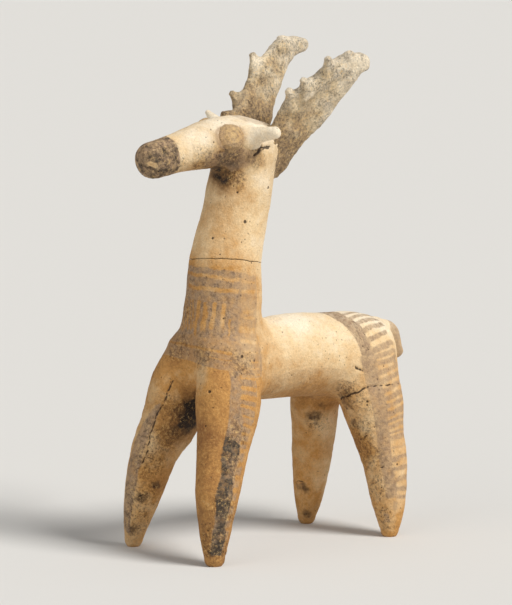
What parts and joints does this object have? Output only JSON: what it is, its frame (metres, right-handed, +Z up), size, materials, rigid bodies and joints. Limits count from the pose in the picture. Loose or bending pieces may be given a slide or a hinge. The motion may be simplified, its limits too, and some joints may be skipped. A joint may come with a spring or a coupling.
{
  "type": "deer figurine",
  "caption": "Standing stag figurine in painted fired clay: hollow barrel body, long upright neck, cone legs, long muzzle, pellet eyes and flat back-swept antlers.",
  "frame": {"origin": "on the floor, under the middle of the box around the figurine", "axes": "the animal faces -Y, its left side is +X, +Z is up"},
  "size_m": [0.0762, 0.1702, 0.2511],
  "materials": {
    "body_clay": "unglazed terracotta, buff slip with worn brown painted bands",
    "antler_clay": "unglazed terracotta, worn grey-brown paint",
    "eye_clay": "unglazed terracotta pellet with a painted ring"
  },
  "bodies": {
    "root": {"trunk": "body_clay", "neck_lower": "body_clay", "neck_upper": "body_clay", "head": "body_clay", "antler_left": "antler_clay", "antler_right": "antler_clay", "ear_left": "body_clay", "ear_right": "body_clay", "eye_left": "eye_clay", "eye_right": "eye_clay", "foreleg_left": "body_clay", "foreleg_right": "body_clay", "hindleg_left": "body_clay", "hindleg_right": "body_clay", "tail": "body_clay"}
  },
  "joints": []
}
